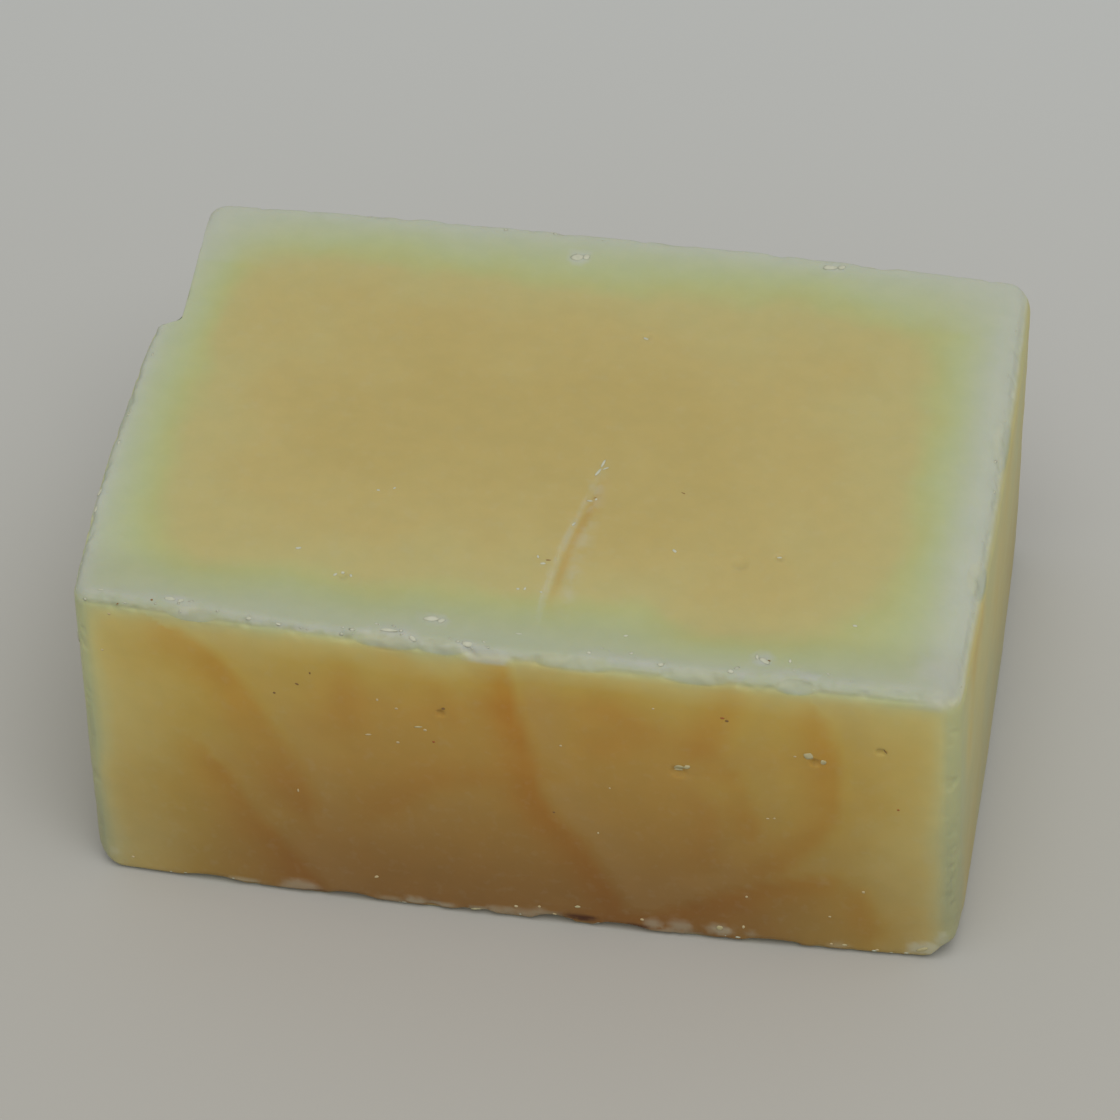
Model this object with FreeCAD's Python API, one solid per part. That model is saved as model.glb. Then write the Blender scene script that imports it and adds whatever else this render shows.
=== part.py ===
import FreeCAD, Part
import math
import os

# A bar of soap, cut by hand from a loaf: one block with bowed sides and rounded edges.
# It has a shear step in its left side and a shallow gouge in its top, and the chips, popped
# bubbles and blunt corner that cutting and handling leave.
# +X runs to the right along the length, +Y from the front to the back and +Z up.
# The origin is the middle of the footprint, on the surface that the bar stands on.
# All lengths are in millimetres.

Vector = FreeCAD.Vector

# The block, before its corners are skewed
bar_length = 80.0
bar_depth = 56.0
bar_height = 34.7
top_fall = 0.6  # the top's right end is this much lower than its left end

# How far each corner stands off a true rectangle, as (x, y)
foot_skew = {
    "front_left": (-0.9, -0.2),
    "front_right": (0.3, 0.2),
    "back_right": (0.0, -0.3),
    "back_left": (0.0, -0.3),
}
top_skew = {
    "front_left": (0.3, 0.9),
    "front_right": (-0.5, -0.1),
    "back_right": (0.1, 0.2),
    "back_left": (-0.2, 0.5),
}

# How far the middle of each side swells beyond the straight line between its corners
foot_bow = {"front": 0.8, "right": 0.3, "back": 0.5, "left": 0.6}
top_bow = {"front": 0.9, "right": 0.5, "back": 0.9, "left": 1.5}

# Rounding by drying and handling
upright_radius = 2.0
top_radius = {"front": 1.2, "right": 2.4, "back": 1.2, "left": 1.2}
foot_radius = {"front": 0.8, "right": 2.6, "back": 0.8, "left": 2.6}

# The shear step: behind it, a slice of the left side has come away.
# The slice thins out to nothing at the back corner, and at the toe above the foot.
step_from_back = 19.2
step_depth = 2.4
step_run = 1.3  # how far its riser slants to the back
step_toe_height = 6.0

# The gouge in the top, in sections from its narrow back end to where it fades at the front.
# Each is the place of its left lip as shares of the length and depth, its width and its depth.
gouge_sections = [
    (0.551, 0.446, 0.3, 0.25),
    (0.541, 0.365, 0.9, 0.45),
    (0.526, 0.244, 2.2, 0.55),
    (0.520, 0.118, 2.8, 0.45),
    (0.523, 0.058, 2.6, 0.06),
]
gouge_wall_share = 0.16  # share of the width that the steep left wall takes

# Scooped chips along the edges: share of the way along the side, length, depth.
# The sides run anticlockwise: front from the left, right from the front, and so on.
top_chips = {
    "front": [
        (0.14, 4.6, 0.30),
        (0.365, 6.0, 0.42),
        (0.425, 4.2, 0.34),
        (0.575, 7.0, 0.30),
        (0.71, 6.0, 0.32),
        (0.82, 3.6, 0.36),
    ],
    "right": [(0.28, 4.6, 0.42), (0.60, 7.0, 0.30)],
    "back": [(0.18, 7.6, 0.26), (0.43, 4.6, 0.30), (0.76, 6.2, 0.28)],
    "left": [(0.55, 6.4, 0.36)],
}
foot_chips = {
    "front": [
        (0.14, 6.4, 0.36),
        (0.305, 5.0, 0.42),
        (0.45, 4.4, 0.36),
        (0.54, 4.2, 0.60),
        (0.62, 5.6, 0.46),
        (0.79, 6.0, 0.38),
    ],
    "back": [(0.30, 6.0, 0.45), (0.70, 7.4, 0.40)],
}

# Popped bubbles: place as shares of the face from its left and lower edge, mouth width, depth
top_bubbles = [
    (0.729, 0.249, 1.7, 0.22),
    (0.771, 0.270, 0.8, 0.28),
    (0.296, 0.126, 0.9, 0.25),
    (0.565, 0.763, 0.8, 0.25),
]
front_bubbles = [
    (0.689, 0.643, 1.5, 0.30),
    (0.841, 0.728, 0.9, 0.32),
    (0.914, 0.792, 0.8, 0.35),
    (0.422, 0.758, 0.8, 0.30),
]

# The corner that was knocked blunt, at the foot on the front right
knock_width = 6.0
knock_depth = 2.3  # inside the sharp corner

clearance = 1.0  # how far the cutting shapes stand clear of the block


def top_height(x):
    """Height of the sloping top at a place along the length."""
    return bar_height - top_fall * x / bar_length


def corner(name, skew):
    """A corner in plan, moved off the true rectangle by its skew."""
    side_x = -1 if name.endswith("left") else 1
    side_y = -1 if name.startswith("front") else 1
    dx, dy = skew[name]
    return side_x * bar_length / 2 + dx, side_y * bar_depth / 2 + dy


def bowed_edge(start, end, bow, height):
    """An arc between two plan points, run anticlockwise, that swells outwards by bow."""
    (x0, y0), (x1, y1) = start, end
    span = math.hypot(x1 - x0, y1 - y0)
    middle_x = (x0 + x1) / 2 + bow * (y1 - y0) / span
    middle_y = (y0 + y1) / 2 - bow * (x1 - x0) / span
    points = [(x0, y0), (middle_x, middle_y), (x1, y1)]
    return Part.Arc(*[Vector(x, y, height(x)) for x, y in points]).toShape()


def outline(skew, bow, height):
    """The four sides of a level or sloping outline, by name."""
    names = ["front_left", "front_right", "back_right", "back_left"]
    corners = [corner(name, skew) for name in names]
    sides = {}
    for place, side in enumerate(["front", "right", "back", "left"]):
        sides[side] = bowed_edge(corners[place], corners[(place + 1) % 4], bow[side], height)
    return sides


def along(side, share):
    """Point and outward level direction at a share of the way along one side of an outline."""
    place = side.FirstParameter + share * (side.LastParameter - side.FirstParameter)
    run = side.tangentAt(place)
    return side.valueAt(place), Vector(run.y, -run.x, 0).normalize()


def rounding(edge, foot, top):
    """Radius of one edge of the block: that of the outline side it follows, or of an upright."""
    middle = Part.Vertex(edge.valueAt((edge.FirstParameter + edge.LastParameter) / 2))
    for sides, radii in [(top, top_radius), (foot, foot_radius)]:
        for name, side in sides.items():
            if side.distToShape(middle)[0] < Part.Precision.approximation():
                return radii[name]
    return upright_radius


def rounded_block(foot, top):
    """The block between the two outlines, with each edge rounded by its own radius."""
    sharp = Part.makeLoft([Part.Wire(list(foot.values())), Part.Wire(list(top.values()))], True, True)
    drawing = FreeCAD.newDocument("soap")
    base = drawing.addObject("Part::Feature", "sharp")
    base.Shape = sharp
    rounded = drawing.addObject("Part::Fillet", "rounded")
    rounded.Base = base
    radii = [rounding(edge, foot, top) for edge in base.Shape.Edges]
    rounded.Edges = [(number, radius, radius) for number, radius in enumerate(radii, 1)]
    drawing.recompute()
    return rounded.Shape


def shear_slice(top):
    """The slice that came away from the left side, behind the step."""
    share = step_from_back / top["left"].Length
    lip, outward = along(top["left"], share)
    to_back = Vector(outward.y, -outward.x, 0)
    riser_foot = lip - outward * step_depth + to_back * step_run
    riser_end = lip + (lip - riser_foot)
    back_corner = along(top["left"], 0)[0]
    back_end = riser_foot + (back_corner - riser_foot) * (1 + clearance / step_depth)
    plan = [riser_foot, back_end, Vector(riser_end.x, back_end.y, 0), riser_end, riser_foot]
    fall = outward * step_depth - Vector(0, 0, bar_height - step_toe_height)
    beyond = fall * (clearance / (bar_height - step_toe_height))
    rim = [Vector(point.x, point.y, lip.z) - beyond for point in plan]
    return Part.Face(Part.makePolygon(rim)).extrude(fall + beyond * 2)


def gouge():
    """The trough of the gouge, closed above the top."""
    rings = []
    for x_share, y_share, width, depth in gouge_sections:
        x = (x_share - 0.5) * bar_length
        y = (y_share - 0.5) * bar_depth
        valley = gouge_wall_share * width
        steps = [(0, 0), (valley, -depth), (width, 0), (width, clearance), (0, clearance), (0, 0)]
        rings.append(Part.makePolygon([Vector(x + dx, y, top_height(x + dx) + dz) for dx, dz in steps]))
    return Part.makeLoft(rings, True, True)


def scoop(mouth, outward, width, depth):
    """A ball that takes a hollow of this width and depth from the surface at its mouth."""
    radius = (width ** 2 / 4 + depth ** 2) / (2 * depth)
    level = Vector(1, 0, 0) if abs(outward.x) < 0.5 else Vector(0, 1, 0)
    poles = outward.cross(level)  # square to the hollow, so that neither pole lies in it
    return Part.makeSphere(radius, mouth + outward * (radius - depth), poles)


def edge_scoops(sides, radii, chips, upright):
    """The chips of one outline, each measured from the rounded edge."""
    scoops = []
    for name, places in chips.items():
        rounded_off = radii[name] * (math.sqrt(2) - 1)
        for share, length, depth in places:
            point, outward = along(sides[name], share)
            bisector = (outward + upright).normalize()
            scoops.append(scoop(point - bisector * rounded_off, bisector, length, depth))
    return scoops


def bubble_scoops(foot, top):
    """The popped bubbles of the top and of the front."""
    scoops = []
    for x_share, y_share, width, depth in top_bubbles:
        x = (x_share - 0.5) * bar_length
        mouth = Vector(x, (y_share - 0.5) * bar_depth, top_height(x))
        scoops.append(scoop(mouth, Vector(0, 0, 1), width, depth))
    for x_share, z_share, width, depth in front_bubbles:
        low, outward = along(foot["front"], x_share)
        high = along(top["front"], x_share)[0]
        scoops.append(scoop(low + (high - low) * z_share, outward, width, depth))
    return scoops


def knock(foot):
    """The ball that blunts the front right corner of the foot."""
    point = along(foot["front"], 1)[0]
    return scoop(point, Vector(1, -1, -1).normalize(), knock_width, knock_depth)


def centred(shape):
    """The shape, with the middle of its outer box over the origin."""
    box = shape.optimalBoundingBox(False)
    shape.translate(Vector(-box.Center.x, -box.Center.y, 0))
    return shape


foot = outline(foot_skew, foot_bow, lambda x: 0.0)
top = outline(top_skew, top_bow, top_height)
block = rounded_block(foot, top)
scoops = edge_scoops(top, top_radius, top_chips, Vector(0, 0, 1))
scoops += edge_scoops(foot, foot_radius, foot_chips, Vector(0, 0, -1))
scoops += bubble_scoops(foot, top)
bar = centred(block.cut([shear_slice(top), gouge(), knock(foot)] + scoops))

os.makedirs("parts", exist_ok=True)
bar.exportStep("parts/soap_bar.step")
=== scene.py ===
import bpy, bmesh, math, random
from mathutils import Matrix, Vector, noise
from mathutils.bvhtree import BVHTree


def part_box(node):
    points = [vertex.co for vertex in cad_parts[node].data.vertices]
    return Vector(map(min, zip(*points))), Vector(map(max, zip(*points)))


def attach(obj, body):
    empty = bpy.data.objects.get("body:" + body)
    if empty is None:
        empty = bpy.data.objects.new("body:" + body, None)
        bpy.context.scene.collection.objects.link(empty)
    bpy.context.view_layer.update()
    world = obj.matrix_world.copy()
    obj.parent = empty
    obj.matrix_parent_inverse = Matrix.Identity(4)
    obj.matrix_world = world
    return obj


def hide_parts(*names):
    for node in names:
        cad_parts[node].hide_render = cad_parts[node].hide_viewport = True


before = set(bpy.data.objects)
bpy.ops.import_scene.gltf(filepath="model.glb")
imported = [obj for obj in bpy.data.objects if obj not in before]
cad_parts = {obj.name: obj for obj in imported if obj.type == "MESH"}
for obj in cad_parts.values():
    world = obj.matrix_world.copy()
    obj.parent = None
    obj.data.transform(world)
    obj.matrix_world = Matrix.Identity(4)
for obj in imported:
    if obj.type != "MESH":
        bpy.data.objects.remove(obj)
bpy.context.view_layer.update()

# A hand-cut bar of soap. Mesh code works in millimetres and scales to metres at the end.
mm = 0.001
barBox = [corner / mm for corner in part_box("soap_bar")]

# the block's own sides, so that a place on the bar is told by how far it lies in from each
blockShape = {
    "height": 34.7,
    "fall": 0.6,
    "length": 80.0,
    "foot": [(-40.40, -28.41), (40.80, -28.01), (40.50, 27.49), (-39.50, 27.49)],  # front left, then round
    "top": [(-39.20, -27.31), (40.00, -28.31), (40.60, 27.99), (-39.70, 28.29)],
    "footBow": [0.8, 0.3, 0.5, 0.6],
    "topBow": [0.9, 0.5, 0.9, 1.5],
}

# each unevenness is a sum of wobbles: size, seed and share
wobbles = {
    "swell": [(8.0, 2.2, 1.0), (3.1, 4.4, 0.6)],
    "grain": [(1.1, 8.1, 1.0), (0.55, 6.3, 1.0)],
    "broken": [(1.9, 1.1, 1.0), (0.8, 2.8, 0.55)],
    "filled": [(1.4, 6.6, 1.0)],
    "lip": [(2.7, 5.9, 1.0)],
    "smeared": [(0.6, 3.0, 1.0)],
    "sheared": [(1.6, 3.3, 1.0), (0.7, 9.9, 0.7)],
    "slow": [(9.0, 3.1, 1.0), (4.0, 7.7, 0.5)],
    "stained": [(13.0, 4.9, 1.0)],
    "grit": [(1.3, 5.5, 1.0), (0.5, 1.5, 0.6)],
    "patchy": [(3.2, 9.3, 1.0)],
}


def limited(value):
    return min(1.0, max(0.0, value))


def smoothStep(low, high, value):
    t = limited((value - low) / (high - low))
    return t * t * (3 - 2 * t)


def bell(value, middle, width):
    return math.exp(-((value - middle) / width) ** 2)


def profile(points, value):
    # straight lines between (place, amount) pairs
    for (x0, y0), (x1, y1) in zip(points, points[1:]):
        if value <= x1:
            return y0 + (y1 - y0) * max(0.0, value - x0) / (x1 - x0)
    return points[-1][1]


def uneven(name, p):
    total = 0.0
    for size, seed, share in wobbles[name]:
        total += share * noise.noise(Vector((p.x / size + seed, p.y / size - seed, p.z / size + 2 * seed)))
    return total


def depths(p):
    # how far in from the front, right, back, left, top and foot
    b = blockShape
    top = b["height"] - b["fall"] * p.x / b["length"]
    rise = p.z / top
    found = []
    for i in range(4):
        j = (i + 1) % 4
        a = Vector(b["foot"][i]).lerp(Vector(b["top"][i]), rise)
        run = Vector(b["foot"][j]).lerp(Vector(b["top"][j]), rise) - a
        reach = Vector((p.x, p.y)) - a
        t = reach.dot(run) / run.length_squared
        bow = b["footBow"][i] + (b["topBow"][i] - b["footBow"][i]) * rise
        off = (reach.x * run.y - reach.y * run.x) / run.length
        found.append(bow * 4 * t * (1 - t) - off)
    return found + [top - p.z, p.z]


# The bar
bodyGrid = {
    "step": 0.9,  # spacing of the first grid
    "bands": [2.3, 1.05],  # the grid is halved this near an edge, and halved again this near
    "twice": {"top": 2.0, "front": 1.6, "foot": 2.0, "upright": 2.2},  # but twice only this near what shows
    "stepX": -36.5,  # the shear step lies left of this
    "riser": (6.5, 11.5, 13.0),  # its riser: where it starts, where the finest grid ends and where it ends
    "riserFoot": 4.0,
    "riserSkin": 0.02,
    "shearedFrom": 9.0,  # the sheared face lies behind this
    "topMarks": 1.2,  # how far down the gouge reaches, with room to spare
    "gougeMargin": 0.5,
    "spots": [  # small hollows that need a fine grid: x, y, z, reach
        (18.8, -14.2, 34.6, 2.0),
        (22.2, -13.1, 34.5, 1.4),
        (-15.8, -21.2, 34.8, 1.4),
        (5.7, 14.5, 34.7, 1.4),
        (15.6, -28.8, 22.3, 1.8),
        (27.2, -28.8, 25.2, 1.6),
        (33.6, -28.6, 27.5, 1.4),
        (-5.7, -28.8, 26.3, 1.4),
    ],
    "gouge": [(4.6, -3.2), (3.9, -7.8), (2.6, -14.5), (2.1, -21.5), (2.4, -25.4)],  # its left lip
    "gougeWidth": [0.3, 0.9, 2.2, 2.8, 2.6],
    "settle": (2, 0.35),  # rounds and strength of the smoothing over the whole skin
    "worn": (40.8, -28.0, 0.6, 4.8),  # the knocked corner: x, y, z and reach
    "wornRounds": (30, 0.5),
    "weld": 0.01,
}


def gougePlace(p):
    # how far right of the left lip, and the width there; None off the gouge's length
    lip = bodyGrid["gouge"]
    for i in range(len(lip) - 1):
        (x0, y0), (x1, y1) = lip[i], lip[i + 1]
        if y1 <= p.y <= y0:
            t = (p.y - y0) / (y1 - y0)
            widths = bodyGrid["gougeWidth"]
            return p.x - (x0 + (x1 - x0) * t), widths[i] + (widths[i + 1] - widths[i]) * t
    return None


def inGouge(p, margin):
    place = gougePlace(p)
    return place is not None and -margin < place[0] < place[1] + margin


def shows(d):
    # whether an edge is one that the camera can see
    front, right, back, left, top, foot = d
    near = bodyGrid["twice"]
    upright = front < near["upright"] and min(right, left) < near["upright"]
    return top < near["top"] or (front < near["front"] and foot < near["foot"]) or upright


def wantsFiner(p, level):
    grid = bodyGrid
    d = depths(p)
    if sorted(d)[1] < grid["bands"][level] and (level == 0 or shows(d)):
        return True
    start, fine, end = grid["riser"]
    if p.x < grid["stepX"] and start < p.y < end and p.z > grid["riserFoot"]:
        return level == 0 or d[3] > grid["riserSkin"] or p.y < fine
    if p.x < grid["stepX"] and p.y > grid["shearedFrom"] and level == 0:
        return True
    if d[4] < grid["topMarks"] and inGouge(p, grid["gougeMargin"]):
        return True
    return any((p - Vector(spot[:3])).length < spot[3] for spot in grid["spots"])


def lay(bm, skin):
    for v in bm.verts:
        v.co = skin.find_nearest(v.co)[0]


def soften(bm, verts, strength):
    bmesh.ops.smooth_vert(bm, verts=verts, factor=strength, use_axis_x=True, use_axis_y=True, use_axis_z=True)


def makeBlank(skin):
    # a box of even squares, laid onto the skin, then halved where the bar has detail
    lo, hi = barBox
    size, middle = hi - lo, (hi + lo) / 2
    bm = bmesh.new()
    for axis in range(3):
        u, w = (axis + 1) % 3, (axis + 2) % 3
        cuts = [round(size[i] / bodyGrid["step"]) for i in (u, w)]
        for side in (-1, 1):
            made = bmesh.ops.create_grid(bm, x_segments=cuts[0], y_segments=cuts[1], size=0.5)
            for v in made["verts"]:
                place = Vector()
                place[axis], place[u], place[w] = side * 0.5, v.co.x * side, v.co.y
                v.co = Vector(middle[i] + place[i] * size[i] for i in range(3))
    bmesh.ops.remove_doubles(bm, verts=bm.verts, dist=bodyGrid["weld"])
    lay(bm, skin)
    for level in range(len(bodyGrid["bands"])):
        chosen = [f for f in bm.faces if wantsFiner(f.calc_center_median(), level)]
        edges = {e for f in chosen for e in f.edges}
        bmesh.ops.subdivide_edges(bm, edges=list(edges), cuts=1, use_grid_fill=True)
        lay(bm, skin)
    rounds, strength = bodyGrid["settle"]
    for _ in range(rounds):
        soften(bm, bm.verts, strength)
        lay(bm, skin)
    *corner, reach = bodyGrid["worn"]
    knocked = [v for v in bm.verts if (v.co - Vector(corner)).length < reach]
    rounds, strength = bodyGrid["wornRounds"]
    for _ in range(rounds):
        soften(bm, knocked, strength)
    bmesh.ops.triangulate(bm, faces=bm.faces)
    bm.normal_update()
    print("blank laid:", len(bm.faces), "faces")
    return bm


# Marks on the bar, as places that its finish reads, and its shape too for all but the last two

# how white the bloom is along the front top edge, by x
frontBloom = [
    (-40, 0.5), (-36, 0.75), (-33, 0.6), (-31, 1.0), (-29, 0.9), (-27, 0.5), (-23, 0.7), (-19, 0.85),
    (-12, 0.85), (-9.5, 1.0), (-7.5, 0.9), (-6, 0.45), (-4.5, 0.9), (-2.5, 1.0), (0.5, 0.8), (2.5, 0.4),
    (5.5, 0.2), (8.5, 0.8), (11.5, 0.9), (13.5, 1.0), (15.5, 0.55), (18.5, 0.45), (21, 0.95), (22.5, 0.55),
    (25.5, 0.95), (27.5, 0.3), (29.5, 0.85), (31.5, 0.65), (33.5, 0.5), (36.5, 0.7), (40, 0.9),
]

# how far in from the front the middle of that bloom runs, by x
frontBand = [
    (-40, 1.0), (-35, 1.0), (-30, 1.3), (-25, 0.9), (-20, 0.4), (-14, 0.4), (-11, 1.2), (-8.6, 1.2),
    (-7.1, 0.2), (-4, 0.6), (-2.5, 0.5), (1, 0.2), (4, 0.5), (7, 1.2), (14, 1.0), (20, 0.9), (26, 1.6),
    (29, 0.9), (40, 1.5),
]

# smears on the top that show white: x, y, half length, half width, amount
topSmears = [
    (-29.8, -26.5, 1.0, 0.4, 1.0), (-28.8, -27.3, 0.5, 0.3, 0.8), (-6.6, -25.4, 1.1, 0.35, 0.9),
    (-3.1, -27.9, 0.8, 0.55, 1.0), (-1.3, -28.4, 1.6, 0.5, 0.8), (22.6, -25.9, 1.0, 0.6, 1.0),
    (27.0, -27.2, 0.9, 0.4, 0.9), (-2.6, 24.9, 1.1, 0.7, 0.9), (21.7, 27.1, 1.3, 0.6, 0.8),
    (-40.0, -14.8, 0.5, 2.0, 0.9), (38.5, -25.0, 2.5, 2.0, 0.8),
]

# smears along the foot of the front: x, z, half length, half height, amount
footSmears = [
    (-38.4, 2.4, 0.7, 0.5, 0.25), (-26.0, 0.9, 1.3, 0.25, 0.35), (-20.4, 1.2, 1.5, 0.7, 0.34),
    (-21.6, 0.7, 1.2, 0.3, 0.3), (-11.9, 0.7, 1.3, 0.3, 0.22), (-9.5, 1.0, 0.9, 0.4, 0.42),
    (-7.1, 0.8, 1.1, 0.35, 0.35), (-3.6, 0.7, 1.0, 0.28, 0.6), (-1.3, 0.9, 1.5, 0.6, 0.3),
    (1.8, 1.0, 2.1, 0.7, 0.3), (12.8, 1.5, 0.8, 0.8, 0.36), (15.4, 1.6, 1.0, 0.8, 0.36),
    (14.4, 0.6, 2.6, 0.35, 0.32), (19.0, 1.5, 1.0, 0.7, 0.42), (22.0, 1.4, 0.8, 0.5, 0.22),
    (29.8, 1.0, 1.2, 0.35, 0.25), (37.8, 1.5, 1.2, 0.9, 0.6), (39.3, 3.0, 0.6, 0.8, 0.45),
]

# painted shade in the hollows along the foot of the front, in the same way
footPaintedShades = [
    (6.1, 1.3, 1.5, 0.45, 1.0), (11.4, 0.9, 1.2, 0.3, 0.8), (-18.6, 0.5, 2.2, 0.22, 0.5),
    (25.0, 0.6, 2.0, 0.2, 0.5),
]

# deeper orange drifts in the front: (x, z) points, how soft on the right as one goes, how sharp on the
# left, and amount
frontDrifts = [
    ([(-30.4, 32.0), (-27.4, 29.7), (-24.9, 26.1), (-22.5, 20.6), (-21.0, 16.6), (-19.9, 12.6)],
     3.0, 0.9, 0.7),
    ([(-27.7, 15.4), (-25.3, 10.4), (-22.7, 6.6), (-19.7, 1.4)], 3.0, 0.7, 0.8),
    ([(-0.8, 33.0), (-0.3, 27.9), (0.9, 22.9), (1.4, 17.7), (2.7, 14.3), (5.1, 11.5), (6.9, 7.5),
      (8.6, 3.7)], 2.6, 0.8, 1.0),
    ([(1.3, 19.1), (-3.3, 18.4), (-8.0, 17.2), (-11.9, 13.2)], 2.6, 1.0, 0.45),
    ([(-10.0, 33.6), (-7.1, 30.0), (-5.6, 27.3)], 2.4, 1.2, 0.5),
    ([(-15.2, 30.0), (-15.0, 24.0)], 1.6, 1.6, 0.3),
    ([(19.5, 32.3), (18.6, 29.2), (16.9, 25.5)], 2.2, 1.6, 0.5),
    ([(19.4, 22.3), (20.2, 20.2), (21.3, 15.5)], 1.8, 0.9, 0.6),
    ([(17.2, 17.6), (16.8, 10.7)], 1.4, 1.2, 0.4),
    ([(27.2, 30.2), (28.4, 24.7), (28.3, 18.1), (26.8, 14.8), (23.5, 10.5)], 2.2, 0.9, 0.7),
    ([(8.0, 2.2), (12.0, 2.0), (14.9, 3.6), (18.6, 5.9), (22.4, 8.0), (27.2, 9.6)], 2.8, 0.6, 0.9),
    ([(30.5, 8.8), (32.0, 3.4)], 1.8, 1.2, 0.6),
    ([(8.5, 30.5), (11.5, 26.5), (8.0, 24.5)], 2.4, 2.4, 0.35),
]

smearEdge = {
    "reach": 2,  # nothing is smeared beyond this many half lengths
    "spare": 0.3,
    "ragged": 0.5,
    "fade": (1.45, 0.55),
    "top": 1.5,  # how far down the top's smears reach
    "front": 2.0,  # how far in the foot's smears reach, and how high
    "foot": 4.0,
}


def smear(marks, u, w, grit):
    look = smearEdge
    amount = 0.0
    for x, y, halfLength, halfWidth, white in marks:
        near = abs(u - x) < look["reach"] * halfLength
        if near and abs(w - y) < look["reach"] * halfWidth + look["spare"]:
            away = math.hypot((u - x) / halfLength, (w - y) / halfWidth) + look["ragged"] * grit
            amount = max(amount, white * smoothStep(*look["fade"], away))
    return amount


# What the finish reads at each place
zoneNames = ["side", "inset", "drift", "lowPaintedShade", "bloomAndPaintedLight", "paintedShadeAndDarkerRim"]

rimLook = {
    # how far in from each side of the top the green rim gives way to amber, by x or y
    "front": [(-40, 6.2), (-16, 6.4), (2, 6.6), (17, 4.6), (28, 5.6), (40, 7.5)],
    "back": [(-40, 6.8), (-20, 6.3), (-6, 6.8), (24, 6.8), (40, 7.8)],
    "left": [(-28, 5.2), (8, 5.2), (28, 6.4)],
    "right": [(-28, 7.0), (0, 7.0), (14, 8.1), (28, 8.1)],
    "frontStart": 0.3,  # the front rim has no colours from before this share
    "topUneven": 0.22,
    # on the front and the back
    "start": 0.33,  # the share at the uprights
    "backStart": 0.12,  # what the back has more than that
    "backOver": (-5.0, 15.0),
    "leftGap": 2.9,  # how far in from the uprights amber starts
    "rightGap": 3.1,
    "slowFrom": 1.2,
    "slowBy": 0.6,
    "below": 1.7,  # how far below the top amber starts
    "belowRight": (1.8, 6.0),  # how much lower by the uprights, and how far that reaches
    "belowLeft": (0.6, 16.0),
    "sideUneven": 0.25,
    # on the ends
    "endRise": 7.0,  # how far from the front an end comes to its own share
    "endShare": 0.27,
    "endStain": 0.25,
    "endUneven": 0.08,
    "endPatches": [  # amber patches in the right end: y, z, half length, half height, amount
        (-15.0, 31.5, 2.2, 2.6, 0.5), (-19.2, 31.0, 2.0, 3.2, 0.6), (-21.5, 22.0, 2.2, 3.4, 0.3),
        (-3.0, 27.0, 7.0, 7.0, 0.1), (14.0, 18.0, 9.0, 9.0, 0.15),
    ],
    "most": 4.0,
    "level": (0.1, 0.7),  # by how level a place is, where the top's rim takes over
    "steep": (0.3, 0.85),  # by how steep it is, where the colours of the sides take over
}

driftLook = {
    "shift": 0.7,
    "facing": (0.5, 0.8),
    "lowPaintedShadeFade": 0.4,
    "back": (7.0, 0.8, 36.0, 0.8),  # the back's: shift, stretch, height that they hang from, amount
    "clearPlace": 2.6,  # the clear strip beside a drift
    "clearWidth": 2.4,
    "clearAmount": 0.15,
    "lowPaintedShade": (34.0, -4.0),  # painted shade darkens the sides from this height to this
    "endFade": (0.52, 13.0),  # how much less at the ends, and how far in that reaches
    "steep": 0.5,  # what is more level than this doesn't darken
}

# dried bloom, with painted sheen in right and backCorners, and painted light in chips and gougeLip
bloomAndPaintedLightLook = {
    # each has its amount, and most have a base and a share of grit that break it up
    "crest": {
        "amount": 1.0, "base": 0.85, "grit": 0.8, "lean": 1.6, "edge": 0.3, "stray": 0.35, "width": 0.55,
        "tilt": (0.05, 0.4), "within": 4,
    },
    "chips": {"amount": 0.34, "base": 0.9, "grit": 0.6, "radius": 1.2, "sunk": (0.04, 0.22)},
    "right": {
        "amount": 0.75, "base": 0.9, "grit": 0.3, "flat": 1.6, "width": 2.2, "down": (1.7, 0.9), "within": 6,
    },
    "back": {"amount": 0.5, "base": 0.9, "grit": 0.4, "middle": 0.9, "width": 1.4, "within": 5},
    "left": {"amount": 0.45, "base": 0.9, "grit": 0.5, "middle": 0.5, "width": 0.9, "within": 4},
    "foot": {
        "amount": 0.6, "grit": 0.3, "patches": (0.05, 0.35), "middle": 0.2, "width": 0.75, "within": 2.2,
    },
    "backCorners": {"left": 0.75, "right": 0.9, "width": 11.0, "within": 9, "down": 1},
    "gougeLip": {"amount": 0.38, "base": 0.8, "grit": 0.8, "least": 0.3, "middle": 0.08, "width": 0.24},
    "gougeSlope": {"amount": 0.28, "base": 0.6, "grit": 1.5, "middle": 0.85, "width": 0.6},
    "gougeDrift": {"amount": 0.5, "base": 0.6, "grit": 1.2, "middle": 0.95, "width": 0.42},
    "gougeEnds": (4.0, 5.4),  # how far from the gouge's back and front end its marks come to full
    "down": 3,  # how far down the edges' bloom reaches
    "upper": (0.15, 0.6),
}

# painted shade along the roundings and in the foot's hollows, and a darker top near its front rim
paintedShadeAndDarkerRimLook = {
    "rim": (0.12, 8.0, 4.0),  # the top's front rim: amount, where it starts and where it is full
    "middle": 0.28,  # how level the rounding is where its painted shade is darkest
    "width": 0.2,
    "front": 0.22,
    "frontRight": (0.6, 26.0, 36.0),  # how much less to the right, between these places
    "right": 0.32,
    "facing": 0.3,
    "bloomAndPaintedLightHides": 1.5,
}


def driftAt(u, w):
    # positive in a drift, a little below nothing on its clear side
    strength, clear = 0.0, 0.0
    p = Vector((u, w))
    for points, soft, sharp, amount in frontDrifts:
        gap, side = math.inf, 1.0
        for a, b in zip(points, points[1:]):
            a, b = Vector(a), Vector(b)
            t = limited((p - a).dot(b - a) / (b - a).length_squared)
            away = (p - a.lerp(b, t)).length
            if away < gap:
                gap, side = away, (b - a).cross(p - a)
        strength = max(strength, amount * bell(gap, 0, sharp if side > 0 else soft))
        if side > 0:
            clear = max(clear, amount * bell(gap, driftLook["clearPlace"], driftLook["clearWidth"]))
    return strength - driftLook["clearAmount"] * clear * (1 - strength)


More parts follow.
